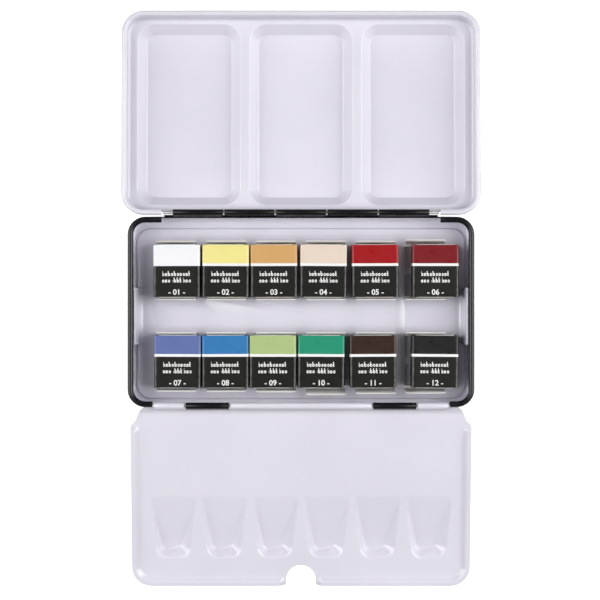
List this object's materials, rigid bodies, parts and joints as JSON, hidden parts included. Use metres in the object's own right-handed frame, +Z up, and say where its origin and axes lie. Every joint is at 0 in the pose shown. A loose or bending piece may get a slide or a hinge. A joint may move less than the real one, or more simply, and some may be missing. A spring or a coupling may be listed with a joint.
{
  "type": "watercolour pan set",
  "caption": "Folding metal watercolour box, open, with a lid of mixing wells, a fold-out mixing flap and a lift-out tray of wrapped half pans.",
  "frame": {"origin": "middle of the base's flat underside", "axes": "+X to the right, +Y towards the opened lid, +Z up"},
  "size_m": [0.1266, 0.2042, 0.0147],
  "materials": {
    "black_enamel": "gloss black enamel outside, white inside",
    "white_enamel_lid": "gloss white enamel inside, black outside",
    "white_enamel_flap": "gloss white enamel both sides",
    "white_enamel_tray": "gloss white enamel",
    "pin_steel": "bright drawn wire",
    "pan_plastic": "satin white plastic",
    "wrapper_paper": "glossy printed paper, black with a colour band",
    "paint_white": "dry watercolour cake, white",
    "paint_lemon_yellow": "dry watercolour cake, lemon yellow",
    "paint_ochre_orange": "dry watercolour cake, ochre orange",
    "paint_peach": "dry watercolour cake, peach",
    "paint_red": "dry watercolour cake, red",
    "paint_crimson": "dry watercolour cake, crimson",
    "paint_violet_blue": "dry watercolour cake, violet blue",
    "paint_blue": "dry watercolour cake, blue",
    "paint_light_green": "dry watercolour cake, light green",
    "paint_green": "dry watercolour cake, green",
    "paint_brown": "dry watercolour cake, brown",
    "paint_black": "dry watercolour cake, black"
  },
  "bodies": {
    "base": {"base_shell": "black_enamel", "lid_hinge_pin": "pin_steel", "flap_hinge_pin": "pin_steel"},
    "lid": {"lid_shell": "white_enamel_lid"},
    "flap": {"mixing_flap": "white_enamel_flap"},
    "tray": {"pan_tray": "white_enamel_tray"},
    "pan_01": {"pan_cup_01": "pan_plastic", "paint_cake_01": "paint_white", "label_01": "wrapper_paper"},
    "pan_02": {"pan_cup_02": "pan_plastic", "paint_cake_02": "paint_lemon_yellow", "label_02": "wrapper_paper"},
    "pan_03": {"pan_cup_03": "pan_plastic", "paint_cake_03": "paint_ochre_orange", "label_03": "wrapper_paper"},
    "pan_04": {"pan_cup_04": "pan_plastic", "paint_cake_04": "paint_peach", "label_04": "wrapper_paper"},
    "pan_05": {"pan_cup_05": "pan_plastic", "paint_cake_05": "paint_red", "label_05": "wrapper_paper"},
    "pan_06": {"pan_cup_06": "pan_plastic", "paint_cake_06": "paint_crimson", "label_06": "wrapper_paper"},
    "pan_07": {"pan_cup_07": "pan_plastic", "paint_cake_07": "paint_violet_blue", "label_07": "wrapper_paper"},
    "pan_08": {"pan_cup_08": "pan_plastic", "paint_cake_08": "paint_blue", "label_08": "wrapper_paper"},
    "pan_09": {"pan_cup_09": "pan_plastic", "paint_cake_09": "paint_light_green", "label_09": "wrapper_paper"},
    "pan_10": {"pan_cup_10": "pan_plastic", "paint_cake_10": "paint_green", "label_10": "wrapper_paper"},
    "pan_11": {"pan_cup_11": "pan_plastic", "paint_cake_11": "paint_brown", "label_11": "wrapper_paper"},
    "pan_12": {"pan_cup_12": "pan_plastic", "paint_cake_12": "paint_black", "label_12": "wrapper_paper"}
  },
  "joints": [
    {"name": "lid_hinge", "type": "hinge", "parent": "base", "child": "lid", "pos_m": [0, 0.035, 0.0136], "axis": [1, 0, 0], "range_deg": [0, 182.63]},
    {"name": "flap_hinge", "type": "hinge", "parent": "base", "child": "flap", "pos_m": [0, -0.033, 0.0134], "axis": [-1, 0, 0], "range_deg": [0, 188.34]},
    {"name": "tray_lift", "type": "slide", "parent": "base", "child": "tray", "axis": [0, 0, -1], "range_m": [-0.018, 0]},
    {"name": "pan_01_lift", "type": "slide", "parent": "tray", "child": "pan_01", "axis": [0, 0, -1], "range_m": [-0.014, 0]},
    {"name": "pan_02_lift", "type": "slide", "parent": "tray", "child": "pan_02", "axis": [0, 0, -1], "range_m": [-0.014, 0]},
    {"name": "pan_03_lift", "type": "slide", "parent": "tray", "child": "pan_03", "axis": [0, 0, -1], "range_m": [-0.014, 0]},
    {"name": "pan_04_lift", "type": "slide", "parent": "tray", "child": "pan_04", "axis": [0, 0, -1], "range_m": [-0.014, 0]},
    {"name": "pan_05_lift", "type": "slide", "parent": "tray", "child": "pan_05", "axis": [0, 0, -1], "range_m": [-0.014, 0]},
    {"name": "pan_06_lift", "type": "slide", "parent": "tray", "child": "pan_06", "axis": [0, 0, -1], "range_m": [-0.014, 0]},
    {"name": "pan_07_lift", "type": "slide", "parent": "tray", "child": "pan_07", "axis": [0, 0, -1], "range_m": [-0.014, 0]},
    {"name": "pan_08_lift", "type": "slide", "parent": "tray", "child": "pan_08", "axis": [0, 0, -1], "range_m": [-0.014, 0]},
    {"name": "pan_09_lift", "type": "slide", "parent": "tray", "child": "pan_09", "axis": [0, 0, -1], "range_m": [-0.014, 0]},
    {"name": "pan_10_lift", "type": "slide", "parent": "tray", "child": "pan_10", "axis": [0, 0, -1], "range_m": [-0.014, 0]},
    {"name": "pan_11_lift", "type": "slide", "parent": "tray", "child": "pan_11", "axis": [0, 0, -1], "range_m": [-0.014, 0]},
    {"name": "pan_12_lift", "type": "slide", "parent": "tray", "child": "pan_12", "axis": [0, 0, -1], "range_m": [-0.014, 0]}
  ]
}
